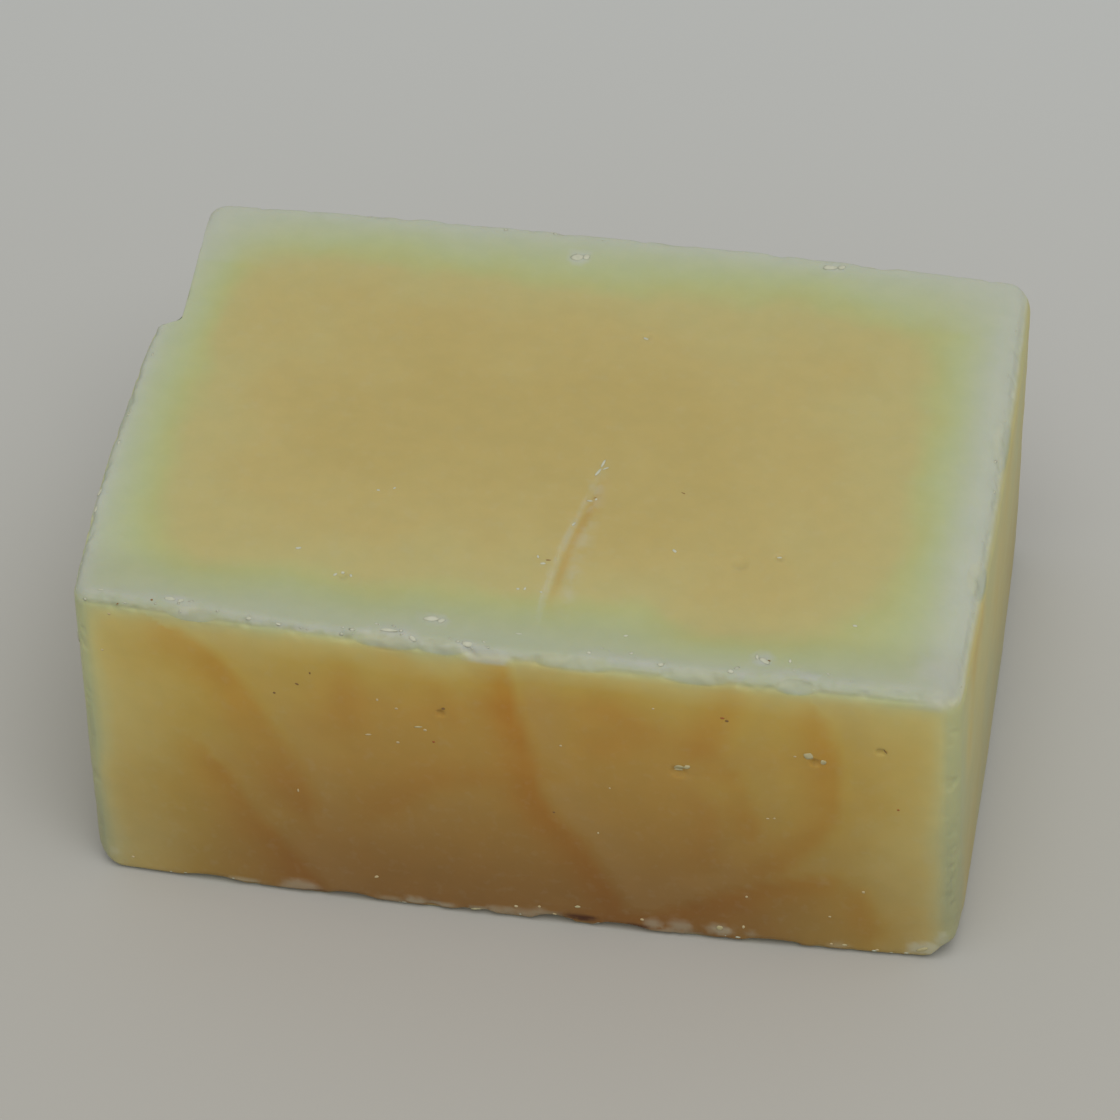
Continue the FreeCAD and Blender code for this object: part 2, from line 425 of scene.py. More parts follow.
def driftOn(p, n, lowPaintedShade):
    look = driftLook
    if n.y < -look["facing"][0]:
        facing = smoothStep(*look["facing"], -n.y)
        return driftAt(p.x - look["shift"], p.z) * facing * (1 - look["lowPaintedShadeFade"] * lowPaintedShade)
    if n.y > look["facing"][0]:
        shift, stretched, height, amount = look["back"]
        return driftAt(shift - p.x * stretched, height - p.z) * smoothStep(*look["facing"], n.y) * amount
    return 0.0


def blunt(a, b):
    # the smaller of two, with a rounded corner where they are alike
    return (max(a, 0.01) ** -3 + max(b, 0.01) ** -3) ** (-1 / 3)


def endPatch(p, n):
    # how amber the right end shows through its green
    if n.x < 0:
        return 0.0
    total = 0.0
    for y, z, halfLength, halfHeight, amount in rimLook["endPatches"]:
        total += amount * math.exp(-((p.y - y) / halfLength) ** 2 - ((p.z - z) / halfHeight) ** 2)
    return total


def insetAt(p, n, d, slow):
    # how far in from the rim, on the top and on the sides: 1 where green gives way to amber
    look = rimLook
    front, right, back, left, top, foot = d
    across = min(left / profile(look["left"], p.y), right / profile(look["right"], p.y))
    fromFront = max(look["frontStart"], front / profile(look["front"], p.x))
    along = min(fromFront, back / profile(look["back"], p.x))
    onTop = blunt(across, along) * (1 + look["topUneven"] * slow)
    below = look["below"]
    if n.y * n.y > n.x * n.x:
        start = look["start"] + look["backStart"] * smoothStep(*look["backOver"], p.y)
        gap = max(start, min(left / look["leftGap"], right / look["rightGap"]))
        gap -= look["slowBy"] * max(0.0, gap - look["slowFrom"])
        below += look["belowRight"][0] * bell(right, 0.0, look["belowRight"][1])
        below += look["belowLeft"][0] * bell(left, 0.0, look["belowLeft"][1])
        shift = look["sideUneven"] * slow
    else:
        own = look["endShare"] + look["endStain"] * uneven("stained", p)
        gap = look["start"] + smoothStep(0.0, look["endRise"], front) * own + endPatch(p, n)
        shift = look["endUneven"] * slow
    onSide = blunt(gap, top / below) * (1 + shift)
    level = smoothStep(*look["level"], n.z * n.z)
    return level * min(look["most"], onTop) + (1 - level) * min(look["most"], onSide)


def patched(part, grit):
    return part["amount"] * limited(part["base"] + part["grit"] * grit)


def bloomAndPaintedLightAt(p, n, d, grit):
    # how white the dried bloom lies on the edges, with painted sheen on the top's right rim and back corners,
    # and painted light in the chips
    front, right, back, left, top, foot = d
    look = bloomAndPaintedLightLook
    upper = smoothStep(*look["upper"], n.z * n.z)
    found = [0.0]
    if top < look["down"]:
        part = look["crest"]
        if front < part["within"]:
            lean = front - part["lean"] * max(0.0, top - part["edge"])
            band = bell(lean + part["stray"] * grit, profile(frontBand, p.x), part["width"])
            tilt = smoothStep(*part["tilt"], n.z * n.z)
            found.append(profile(frontBloom, p.x) * band * patched(part, grit) * tilt)
        # bloom in the chips, with painted light that takes the shade out of their hollows
        part = look["chips"]
        radius = part["radius"]
        if front < radius and top < radius:
            sunk = radius - math.hypot(radius - front, radius - top)
            found.append(smoothStep(*part["sunk"], sunk) * patched(part, grit))
        # bloom and a painted sheen along the top's right rim
        part = look["right"]
        if right < part["within"]:
            pale = bell(max(0.0, right - part["flat"]), 0.0, part["width"]) * smoothStep(*part["down"], top)
            found.append(pale * patched(part, grit))
        for gap, part in [(back, look["back"]), (left, look["left"])]:
            if gap < part["within"]:
                found.append(upper * bell(gap - top, part["middle"], part["width"]) * patched(part, grit))
    part = look["foot"]
    if foot < part["within"] and back < part["within"]:
        patches = smoothStep(*part["patches"], uneven("patchy", p) + part["grit"] * grit)
        found.append(part["amount"] * patches * bell(foot, part["middle"], part["width"]))
    # bloom and a painted sheen near the top's back corners
    part = look["backCorners"]
    if back < part["within"] and top < part["down"]:
        amount = part["right"] if p.x > 0 else part["left"]
        found.append(amount * upper * bell(back + min(right, left), 0.0, part["width"]))
    if top < smearEdge["top"]:
        found.append(smear(topSmears, p.x, p.y, grit))
    if front < smearEdge["front"] and p.z < smearEdge["foot"]:
        found.append(smear(footSmears, p.x, p.z, grit))
    return max(found)


def gougeMarks(p, bloomAndPaintedLight, drift, grit, slow):
    # the gouge's whitish lip and slope, and the amber that shows in it; the lip's white is partly bloom,
    # partly painted light on its shaded wall
    place = gougePlace(p)
    if place is None:
        return bloomAndPaintedLight, drift
    gap, width = place
    lip = bodyGrid["gouge"]
    fromBack, fromFront = bloomAndPaintedLightLook["gougeEnds"]
    full = smoothStep(0.0, fromBack, lip[0][1] - p.y) * smoothStep(lip[-1][1], lip[-1][1] + fromFront, p.y)
    # bloom on the lip, with painted light on its shaded wall
    part = bloomAndPaintedLightLook["gougeLip"]
    share = part["least"] + (1 - part["least"]) * full
    bloomAndPaintedLight = max(bloomAndPaintedLight, share * bell(gap, part["middle"], part["width"]) * patched(part, grit))
    part = bloomAndPaintedLightLook["gougeSlope"]
    bloomAndPaintedLight = max(bloomAndPaintedLight, full * bell(gap, width * part["middle"], part["width"]) * patched(part, grit))
    part = bloomAndPaintedLightLook["gougeDrift"]
    return bloomAndPaintedLight, max(drift, full * bell(gap, part["middle"], part["width"]) * patched(part, slow))


def paintedShadeAndDarkerRimAt(p, n, d, bloomAndPaintedLight, grit):
    # painted shade in the hollows along the foot and along the roundings, and the top a little darker near
    # its front rim
    look = paintedShadeAndDarkerRimLook
    front, level = d[0], n.z * n.z
    # painted shade in the hollows along the foot
    if p.z < smearEdge["foot"]:
        return smear(footPaintedShades, p.x, p.z, grit) if front < smearEdge["front"] else 0.0
    # the top a little darker near its front rim
    amount, start, full = look["rim"]
    paintedShadeAndDarkerRim = amount * smoothStep(*rimLook["level"], level) * smoothStep(start, full, front)
    # painted shade along the roundings, against the light that the lamp puts on them
    if n.x > -look["facing"]:
        less, start, full = look["frontRight"]
        under = look["front"] * (1 - less * smoothStep(start, full, p.x))
        if n.x > look["facing"]:
            under = look["right"]
        hidden = limited(look["bloomAndPaintedLightHides"] * bloomAndPaintedLight)
        paintedShadeAndDarkerRim += under * bell(level, look["middle"], look["width"]) * (1 - hidden)
    return paintedShadeAndDarkerRim


def zones(p, n):
    d = depths(p)
    front, right, back, left, top, foot = d
    slow, grit = uneven("slow", p), uneven("grit", p)
    # painted shade: the steep sides darker toward the foot, where less light falls
    lowPaintedShade = 0.0
    if n.z * n.z < driftLook["steep"]:
        less, reach = driftLook["endFade"]
        lowPaintedShade = smoothStep(*driftLook["lowPaintedShade"], p.z) * (1 - less * bell(min(right, left), 0.0, reach))
    drift = driftOn(p, n, lowPaintedShade)
    bloomAndPaintedLight = bloomAndPaintedLightAt(p, n, d, grit)
    if top < bodyGrid["topMarks"]:
        bloomAndPaintedLight, drift = gougeMarks(p, bloomAndPaintedLight, drift, grit, slow)
    side = smoothStep(*rimLook["steep"], 1 - n.z * n.z)
    return side, insetAt(p, n, d, slow), drift, lowPaintedShade, bloomAndPaintedLight, paintedShadeAndDarkerRimAt(p, n, d, bloomAndPaintedLight, grit)


# The bar's own roughness
soapSkin = {
    "swell": 0.05,  # slow unevenness of the cut faces
    "grain": 0.012,
    "crumble": 0.30,  # how far the edges have crumbled in
    "crumbleReach": 1.1,
    "whole": 0.05,  # how much of the edges has not crumbled
    "crest": 0.11,  # the lip that the cut left along the top edges
    "crestMiddle": 0.5,  # how far in it runs, other than at the front
    "crestWidth": 0.45,
    "crestDown": (2.2, 0.9),
    "crestWhole": 0.4,
    "rounding": [1.2, 2.4, 1.2, 1.2],  # of the top's front, right, back and left edge
    "roundingDown": 2.6,
    "chipDepth": 0.45,  # smeared soap fills most of a chip, down to this depth
    "chipFill": (0.7, 0.6),
    "wornFrom": (0.8, 3.5),  # the top's corners are worn smooth, fully and in part, this far from both sides
    "wornDown": 4,
    "topSmear": 0.07,
    "footSmear": 0.10,
    "sheared": 0.11,
    "shearedFrom": 8.0,  # the sheared face: behind this, this far in from the left and from the top
    "shearedIn": (0.12, 0.3),
    "shearedSteep": 0.6,
    "unfilledFrom": 7.5,
    "gougeFill": 0.72,
    "gougeMargin": 0.2,
    "flatFoot": 0.6,  # the foot stays flat where it stands, up to this height
}


def edgeLift(p, d, worn):
    # what the cut and the smears raised along the top's edges
    look = soapSkin
    top = d[4]
    side = min(range(4), key=lambda i: d[i])
    r = look["rounding"][side]
    lift = 0.0
    sheared = side == 3 and p.y > look["unfilledFrom"]
    if d[side] < r and top < r and not sheared:
        sunk = min(look["chipDepth"], r - math.hypot(r - d[side], r - top))
        base, grit = look["chipFill"]
        lift += max(0.0, sunk) * (base + grit * uneven("filled", p)) * worn
    middle = profile(frontBand, p.x) if side == 0 else look["crestMiddle"]
    ridge = bell(d[side] - top, middle, look["crestWidth"]) * smoothStep(*look["crestDown"], top) * worn
    lift += look["crest"] * ridge * max(0.0, uneven("lip", p) + look["crestWhole"])
    return lift + look["topSmear"] * smear(topSmears, p.x, p.y, uneven("smeared", p))


def liftAt(p, n, d):
    look = soapSkin
    lift = look["swell"] * uneven("swell", p) + look["grain"] * uneven("grain", p)
    worn = smoothStep(*look["wornFrom"], sorted(d[:4])[1]) if d[4] < look["wornDown"] else 1.0
    broken = max(0.0, uneven("broken", p) - look["whole"])
    lift -= look["crumble"] * bell(sorted(d)[1], 0.0, look["crumbleReach"]) * worn * broken
    if d[4] < look["roundingDown"]:
        lift += edgeLift(p, d, worn)
    inLeft, inTop = look["shearedIn"]
    onStep = p.x < bodyGrid["stepX"] and p.y > look["shearedFrom"]
    if onStep and d[3] > inLeft and d[4] > inTop and n.z < look["shearedSteep"]:
        lift += look["sheared"] * uneven("sheared", p)
    if d[0] < smearEdge["front"] and p.z < smearEdge["foot"]:
        lift += look["footSmear"] * smear(footSmears, p.x, p.z, uneven("smeared", p))
    if d[4] < bodyGrid["topMarks"] and inGouge(p, look["gougeMargin"]):
        lift += look["gougeFill"] * max(0.0, d[4]) * n.z
    return lift


def insideBox(p):
    # the same place, or the nearest one that is no further out than the CAD part's box
    lo, hi = barBox
    return Vector(max(lo[i], min(hi[i], p[i])) for i in range(3))


def roughen(bm):
    # the unevenness, crumbled edges and raised crest that the cut left
    moves = []
    for v in bm.verts:
        d = depths(v.co)
        hold = smoothStep(0.0, soapSkin["flatFoot"], d[5])
        moves.append(v.normal * liftAt(v.co, v.normal, d) * hold)
    for v, move in zip(bm.verts, moves):
        v.co = insideBox(v.co + move)


def makePiece(bm, name):
    mesh = bpy.data.meshes.new(name)
    bm.to_mesh(mesh)
    bm.free()
    piece = bpy.data.objects.new(name, mesh)
    bpy.context.scene.collection.objects.link(piece)
    return piece


def makeBar():
    source = bmesh.new()
    source.from_mesh(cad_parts["soap_bar"].data)
    bmesh.ops.remove_doubles(source, verts=source.verts, dist=1e-6)
    bmesh.ops.scale(source, vec=(1 / mm,) * 3, verts=source.verts)
    skin = BVHTree.FromBMesh(source)
    source.free()
    bm = makeBlank(skin)
    values = [zones(v.co, v.normal) for v in bm.verts]
    roughen(bm)
    bm.normal_update()
    finished = BVHTree.FromBMesh(bm)
    bmesh.ops.scale(bm, vec=(mm,) * 3, verts=bm.verts)
    bar = makePiece(bm, "soapBar")
    mesh = bar.data
    for place, name in enumerate(zoneNames):
        layer = mesh.attributes.new(name, "FLOAT", "POINT")
        layer.data.foreach_set("value", [v[place] for v in values])
    mesh.shade_smooth()
    print("bar:", len(mesh.polygons), "faces")
    return bar, finished


# Finishes
soapLook = {
    # colour by how far in from the rim: on the top, and on the sides near the top; the top's are paler and
    # less saturated, partly the soap's own tone and partly a painted reflection of the sky
    "top": [
        (0.0, (0.43, 0.455, 0.37)), (0.3, (0.41, 0.445, 0.295)), (0.75, (0.405, 0.437, 0.22)),
        (1.0, (0.41, 0.415, 0.175)), (1.3, (0.44, 0.385, 0.158)), (2.2, (0.447, 0.358, 0.132)),
        (3.5, (0.43, 0.335, 0.115)),
    ],
    "side": [
        # the first two stops are darker and greener: painted shade on the roundings, where the lamp lights
        # them
        (0.0, (0.32, 0.38, 0.27)), (0.2, (0.37, 0.41, 0.245)), (0.33, (0.51, 0.535, 0.275)),
        (0.65, (0.605, 0.55, 0.225)), (1.0, (0.625, 0.51, 0.17)), (2.0, (0.58, 0.405, 0.088)),
        (3.5, (0.55, 0.337, 0.070)),
    ],
    "clear": (0.45, 0.33, 0.16),  # beside a drift
    "topBloomAndPaintedLight": (0.44, 0.46, 0.38),
    "sideBloomAndPaintedLight": (0.52, 0.52, 0.40),
    # what the colour is multiplied by
    "lowPaintedShadeTint": (0.43, 0.35, 0.47),  # painted shade low on the sides
    "driftTint": (0.95, 0.72, 0.42),
    "paintedShadeAndDarkerRimTint": (0.30, 0.19, 0.22),
    "mottleTint": (0.93, 0.95, 0.96),
    # patterns, by their scale
    "slow": 95.0,
    "fine": 900.0,
    "mottled": 430.0,
    "rimShift": (0.6, 0.7),  # how the slow pattern moves the rim
    "driftBreaks": (0.1, 0.5),
    "fleckRange": (0.55, 0.8),
    "flecks": 0.07,
    "mottleRange": (0.38, 0.62),
    "mottle": 0.5,
    "roughness": 0.4,  # of the smoothest patches
    "dull": 0.2,  # how much more where the slow pattern or the bloom is strong
    "fineBump": 0.4,
    "bump": 0.25,
    "bumpHeight": 0.0002,
    "shader": {
        "IOR": 1.45,
        "Specular IOR Level": 0.35,
        "Subsurface Weight": 0.15,
        "Subsurface Radius": (1.0, 0.6, 0.25),
        "Subsurface Scale": 0.002,
    },
}


def newFinish(name):
    finish = bpy.data.materials.new(name)
    finish.use_nodes = True
    finish.node_tree.nodes.clear()
    return finish, finish.node_tree


def plug(tree, value, socket):
    if isinstance(value, bpy.types.NodeSocket):
        tree.links.new(value, socket)
    elif isinstance(value, tuple) and socket.type == "RGBA":
        socket.default_value = (*value, 1.0)
    else:
        socket.default_value = value


def addNode(tree, kind, settings=None, **inputs):
    node = tree.nodes.new(kind)
    for key, value in (settings or {}).items():
        setattr(node, key, value)
    for key, value in inputs.items():
        plug(tree, value, node.inputs[key.replace("_", " ")])
    return node


def addShader(tree, settings, **inputs):
    # the surface shader and its output, with settings that are the same all over
    shader = addNode(tree, "ShaderNodeBsdfPrincipled", **inputs)
    for key, value in settings.items():
        shader.inputs[key].default_value = value
    out = tree.nodes.new("ShaderNodeOutputMaterial")
    tree.links.new(shader.outputs[0], out.inputs["Surface"])
    return shader


def blendColour(tree, amount, under, over, kind="MIX"):
    node = addNode(tree, "ShaderNodeMix", {"data_type": "RGBA", "blend_type": kind})
    for value, socket in zip((amount, under, over), (0, 6, 7)):  # the sockets that colours are mixed with
        plug(tree, value, node.inputs[socket])
    return node.outputs[2]


def tinted(tree, amount, under, tint):
    return blendColour(tree, amount, under, tint, "MULTIPLY")


def sums(tree, kind, a, b=0.0, clamp=False):
    node = addNode(tree, "ShaderNodeMath", {"operation": kind, "use_clamp": clamp})
    plug(tree, a, node.inputs[0])
    plug(tree, b, node.inputs[1])
    return node.outputs[0]


def scaled(tree, value, by, plus=0.0):
    product = sums(tree, "MULTIPLY", value, by)
    return sums(tree, "ADD", product, plus) if plus else product


def grainOf(tree, coords, scale, detail=3.0):
    node = addNode(tree, "ShaderNodeTexNoise", Vector=coords, Scale=scale, Detail=detail, Roughness=0.55)
    return node.outputs["Fac"]


def stretch(tree, value, span):
    node = addNode(tree, "ShaderNodeMapRange", {"clamp": True}, Value=value)
    node.inputs["From Min"].default_value, node.inputs["From Max"].default_value = span
    return node.outputs["Result"]


def ramp(tree, value, stops):
    reach = rimLook["most"]
    node = tree.nodes.new("ShaderNodeValToRGB")
    plug(tree, sums(tree, "DIVIDE", value, reach), node.inputs["Fac"])
    marks = node.color_ramp.elements
    while len(marks) < len(stops):
        marks.new(0.5)
    for mark, (place, colour) in zip(marks, stops):
        mark.position = place / reach
        mark.color = (*colour, 1.0)
    return node.outputs["Color"]


def soapFinish():
    look = soapLook
    finish, tree = newFinish("waxySoap")
    coords = tree.nodes.new("ShaderNodeTexCoord").outputs["Object"]
    zone = {}
    for name in zoneNames:
        zone[name] = addNode(tree, "ShaderNodeAttribute", {"attribute_name": name}).outputs["Fac"]
    slow = grainOf(tree, coords, look["slow"])
    fine = grainOf(tree, coords, look["fine"], 2.0)

    # amber inside the green rim, with painted shade darker down the sides
    inset = sums(tree, "MULTIPLY", zone["inset"], scaled(tree, slow, *look["rimShift"]))
    onTop = ramp(tree, inset, look["top"])
    onSide = tinted(tree, zone["lowPaintedShade"], ramp(tree, inset, look["side"]), look["lowPaintedShadeTint"])
    # on level places the top's paler colours take over, partly a painted reflection of the sky
    colour = blendColour(tree, zone["side"], onTop, onSide)

    # the drifts and the clear strips beside them
    clear = sums(tree, "MULTIPLY", zone["drift"], -1.0, True)
    colour = blendColour(tree, clear, colour, look["clear"])
    drift = sums(tree, "MULTIPLY", zone["drift"], stretch(tree, slow, look["driftBreaks"]), True)
    colour = tinted(tree, drift, colour, look["driftTint"])

    # pale flecks, bloom and painted light, then the painted shade, the darker rim and a faint mottle
    white = blendColour(tree, zone["side"], look["topBloomAndPaintedLight"], look["sideBloomAndPaintedLight"])
    flecks = scaled(tree, stretch(tree, fine, look["fleckRange"]), look["flecks"])
    colour = blendColour(tree, flecks, colour, white)
    colour = blendColour(tree, zone["bloomAndPaintedLight"], colour, white)
    colour = tinted(tree, zone["paintedShadeAndDarkerRim"], colour, look["paintedShadeAndDarkerRimTint"])
    mottle = stretch(tree, grainOf(tree, coords, look["mottled"]), look["mottleRange"])
    colour = tinted(tree, scaled(tree, mottle, look["mottle"]), colour, look["mottleTint"])

    height = sums(tree, "ADD", scaled(tree, fine, look["fineBump"]), slow)
    bump = addNode(tree, "ShaderNodeBump", Strength=look["bump"], Distance=look["bumpHeight"], Height=height)
    dull = sums(tree, "ADD", scaled(tree, slow, look["dull"]), scaled(tree, zone["bloomAndPaintedLight"], look["dull"]))
    roughness = sums(tree, "ADD", dull, look["roughness"])
    addShader(tree, look["shader"], Base_Color=colour, Normal=bump.outputs["Normal"], Roughness=roughness)
    return finish


bar, barSkin = makeBar()
bar.data.materials.append(soapFinish())
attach(bar, "root")
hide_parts("soap_bar")


# Flakes, crumbs and specks

# on the top: x, y, half length, half width, half thickness, turn in degrees
topFlakes = [
    (-6.9, -25.4, 0.7, 0.28, 0.10, 5), (-6.0, -25.5, 0.35, 0.22, 0.10, 30),
    (-2.9, 24.9, 0.6, 0.45, 0.12, 20), (-2.0, 25.1, 0.4, 0.3, 0.12, 80), (21.3, 27.0, 0.7, 0.3, 0.14, 5),
    (22.4, 27.2, 0.4, 0.3, 0.12, 40), (5.6, 14.4, 0.3, 0.26, 0.08, 0), (-20.5, -18.4, 0.26, 0.14, 0.06, 15),
    (-16.5, -21.2, 0.22, 0.12, 0.06, 60), (-15.9, -20.8, 0.16, 0.12, 0.06, 0),
    (-15.1, -21.1, 0.20, 0.12, 0.06, 120), (22.2, -12.9, 0.3, 0.1, 0.07, 10),
    (4.55, -3.3, 0.55, 0.12, 0.10, 80), (4.9, -3.9, 0.32, 0.10, 0.08, 30), (4.3, -4.5, 0.6, 0.13, 0.07, 70),
    (4.2, -8.3, 0.30, 0.10, 0.06, 0), (4.75, -8.1, 0.14, 0.10, 0.06, 70),
    (3.3, -11.5, 0.28, 0.09, 0.06, 65), (1.5, -17.0, 0.26, 0.12, 0.07, 10),
    (0.9, -16.2, 0.2, 0.1, 0.06, 110), (2.0, -20.6, 0.14, 0.10, 0.06, 0),
    (-0.1, -20.5, 0.16, 0.12, 0.06, 0), (0.5, -20.4, 0.18, 0.11, 0.06, 80),
    (1.0, -26.0, 0.32, 0.08, 0.05, 0), (10.3, -24.8, 0.2, 0.1, 0.05, 20), (-15.0, -9.9, 0.16, 0.1, 0.05, 0),
    (-13.6, -9.4, 0.14, 0.1, 0.05, 50), (12.8, -13.6, 0.26, 0.13, 0.05, 140),
    (29.9, -20.5, 0.2, 0.14, 0.06, 0), (7.5, -27.4, 0.2, 0.16, 0.12, 0),
    (13.9, -27.8, 0.26, 0.18, 0.12, 20), (20.0, -27.7, 0.26, 0.2, 0.12, 0),
    (22.0, -25.6, 0.32, 0.14, 0.10, 100), (22.7, -26.0, 0.55, 0.25, 0.07, 150),
    (24.9, -25.6, 0.12, 0.22, 0.09, 0), (-22.9, -27.6, 0.26, 0.15, 0.10, 10),
    (-20.2, -27.8, 0.3, 0.14, 0.10, 160), (-10.4, -27.3, 0.8, 0.18, 0.10, 0),
    (-8.1, -27.9, 0.4, 0.2, 0.12, 140), (-30.3, -26.5, 0.5, 0.24, 0.10, 0),
    (-29.3, -26.6, 0.3, 0.2, 0.10, 30), (-3.2, -27.9, 0.5, 0.26, 0.12, 0),
    (-40.2, -13.6, 0.2, 0.6, 0.12, 0), (-39.9, -16.0, 0.2, 0.45, 0.12, 0),
    (-36.7, -26.3, 0.3, 0.07, 0.06, 0),
]
leftFlakes = [(-26.3, 28.8, 0.20, 0.85, 0.18, 5)]  # y, z on the left side, then as above

# on the front: x, z, half length, half height, half thickness, turn
frontFlakes = [
    (15.5, 22.75, 0.85, 0.36, 0.12, 5), (15.3, 22.35, 0.62, 0.12, 0.14, 3),
    (16.2, 23.0, 0.32, 0.22, 0.12, 30), (27.0, 25.9, 0.44, 0.38, 0.08, 20),
    (28.3, 25.3, 0.26, 0.28, 0.09, 0), (-8.0, 24.3, 0.40, 0.10, 0.05, 10), (5.8, 2.7, 0.26, 0.16, 0.08, 10),
    (-3.6, 0.8, 0.8, 0.16, 0.10, 5), (19.0, 1.9, 0.30, 0.28, 0.08, 20), (37.6, 1.4, 0.6, 0.22, 0.10, 30),
    (30.5, 1.1, 0.26, 0.12, 0.06, 0),
]
frontSpecks = [
    (25.8, 25.7, 0.14, 0.10, 0.05, 0), (23.4, 17.3, 0.16, 0.09, 0.05, 0), (24.0, 17.4, 0.12, 0.10, 0.05, 0),
    (32.1, 8.6, 0.15, 0.15, 0.06, 0), (29.1, 4.8, 0.13, 0.10, 0.05, 0), (21.5, 6.5, 0.12, 0.14, 0.05, 0),
    (8.0, 13.1, 0.09, 0.14, 0.05, 0), (9.2, 19.2, 0.09, 0.10, 0.05, 0), (13.3, 30.0, 0.12, 0.10, 0.05, 0),
    (-7.4, 24.0, 0.16, 0.14, 0.05, 0), (-10.0, 22.0, 0.16, 0.14, 0.05, 0),
    (-13.1, 3.6, 0.24, 0.15, 0.06, 30), (-36.9, 28.7, 0.12, 0.11, 0.05, 0),
    (-35.8, 33.3, 0.15, 0.12, 0.05, 0), (-19.8, 14.0, 0.09, 0.22, 0.05, 0), (0.0, 1.8, 0.18, 0.15, 0.07, 0),
    (2.2, 2.1, 0.14, 0.14, 0.07, 0), (3.6, 1.3, 0.22, 0.14, 0.07, 0), (11.8, 1.9, 0.17, 0.14, 0.07, 0),
    (21.2, 2.3, 0.13, 0.20, 0.06, 0), (29.3, 1.1, 0.14, 0.12, 0.06, 0), (33.5, 0.8, 0.18, 0.12, 0.06, 0),
    (-36.7, 1.9, 0.14, 0.12, 0.05, 0), (-11.6, 27.1, 0.12, 0.16, 0.04, 0),
    (-9.9, 26.3, 0.16, 0.12, 0.04, 0), (-12.7, 22.5, 0.3, 0.1, 0.04, 10), (4.9, 24.0, 0.12, 0.12, 0.04, 0),
]
frontDarks = [
    (19.8, 29.4, 0.16, 0.14, 0.05, 0), (33.7, 27.4, 0.10, 0.26, 0.05, 70), (4.0, 15.2, 0.12, 0.10, 0.05, 0),
    (-17.6, 29.4, 0.09, 0.14, 0.05, 0), (-18.9, 27.8, 0.10, 0.18, 0.05, 60),
    (-21.1, 26.3, 0.13, 0.12, 0.05, 0), (-5.6, 27.0, 0.16, 0.14, 0.05, 0),
]
topDarks = [
    (-34.9, -27.3, 0.22, 0.07, 0.05, 70), (1.9, -16.5, 0.24, 0.07, 0.05, 5),
    (12.4, -6.1, 0.20, 0.05, 0.04, 160), (4.6, -7.9, 0.14, 0.05, 0.04, 20),
    (23.1, -25.9, 0.14, 0.10, 0.05, 0), (-31.9, -26.8, 0.12, 0.10, 0.05, 0),
]
frontReds = [
    (35.0, 20.0, 0.12, 0.10, 0.05, 0), (-6.7, 22.6, 0.13, 0.12, 0.05, 0), (19.4, 29.7, 0.2, 0.12, 0.04, 0),
]

# each piece: its marks by the face that they lie on, and its finish with two colours
flakePieces = {
    "soapFlakes": {
        "marks": [("top", topFlakes), ("left", leftFlakes)],
        "finish": ("driedFlake", (0.45, 0.46, 0.34), (0.53, 0.53, 0.41)),
        "crumbs": True,
    },
    "frontFlakes": {
        "marks": [("front", frontFlakes)],
        "finish": ("creamFlake", (0.42, 0.37, 0.19), (0.54, 0.49, 0.29)),
    },
    "soapSpecks": {
        "marks": [("front", frontSpecks)],
        "finish": ("paleSpeck", (0.50, 0.39, 0.20), (0.58, 0.49, 0.29)),
    },
    "darkSpecks": {
        "marks": [("front", frontDarks), ("top", topDarks)],
        "finish": ("darkSpeck", (0.20, 0.12, 0.05), (0.27, 0.16, 0.06)),
    },
    "redSpecks": {
        "marks": [("front", frontReds)],
        "finish": ("redSpeck", (0.35, 0.11, 0.04), (0.40, 0.15, 0.05)),
    },
}

flakeLook = {
    "seed": 11,
    "lumpSize": 1.3,
    "lumps": 0.3,  # how high the lumps on a flake are, against its size
    "fineness": 2,
    "proud": 0.15,  # how far a flake's middle stands above the skin, as a share of its half thickness
    "flatter": 0.65,
    "steepest": -0.6,  # on a steeper spot a flake lies level with its face
    "pattern": 1400.0,
    "patternRange": (0.3, 0.7),
    "shader": {"Roughness": 0.8, "Specular IOR Level": 0.15},
}

crumbLook = {
    "lumps": 0.4,
    "fineness": 1,
    "size": (0.06, 0.11),  # the least, and how much more the largest has
    "drop": 8,  # how far outside the bar a crumb's ray starts
    # along the front crest
    "crestCount": 40,
    "crestSpan": (-39.5, 39.8),
    "crestBias": 1.5,  # how strongly they gather where the bloom is white
    "crestStart": (-28.4, 34.8),  # y and z
    "crestSpread": 0.4,
    "crestFoot": 32.5,
    "crestTurn": (-0.6, 0.6),
    "crestLength": (1.2, 2.6),
    "crestThick": (0.2, 0.35),
    # along the other edges: right, back and left of the top, then front and back of the foot
    "edgeTries": 70,
    "edgeLines": [
        ((40.2, -28, 34.4), (40.4, 28, 34.4)), ((-40, 28.2, 34.9), (40, 28.2, 34.5)),
        ((-39.8, -27, 34.9), (-40.2, 9, 34.9)), ((-38, -28.6, 0.5), (38, -28.8, 0.5)),
        ((-38, 27.8, 0.5), (38, 27.8, 0.5)),
    ],
    "endFrom": 39.7,  # beyond this in x an edge faces out of the end, short of the corner
    "cornerFrom": 28.1,
    "sideFrom": 27.5,  # beyond this in y it faces out of the front or back
    "upperFrom": 10,
    "upperLift": 0.9,  # how steeply a crumb is dropped onto the upper edges and onto the foot
    "footLift": 0.15,
    "edgeSpread": (-0.4, 0.4),
    "edgeLength": (1.2, 2.4),
    "edgeThick": (0.25, 0.5),
    "stray": 3,  # a crumb that lands further off than this is left out
}

# how a mark is dropped onto each face: from where, which way, and the two directions it is laid out in
faceAims = {
    "top": [(0, 0, 60), (0, 0, -1), (1, 0, 0), (0, 1, 0)],
    "front": [(0, -60, 0), (0, 1, 0), (1, 0, 0), (0, 0, 1)],
    "left": [(-70, 0, 0), (1, 0, 0), (0, 1, 0), (0, 0, 1)],
}


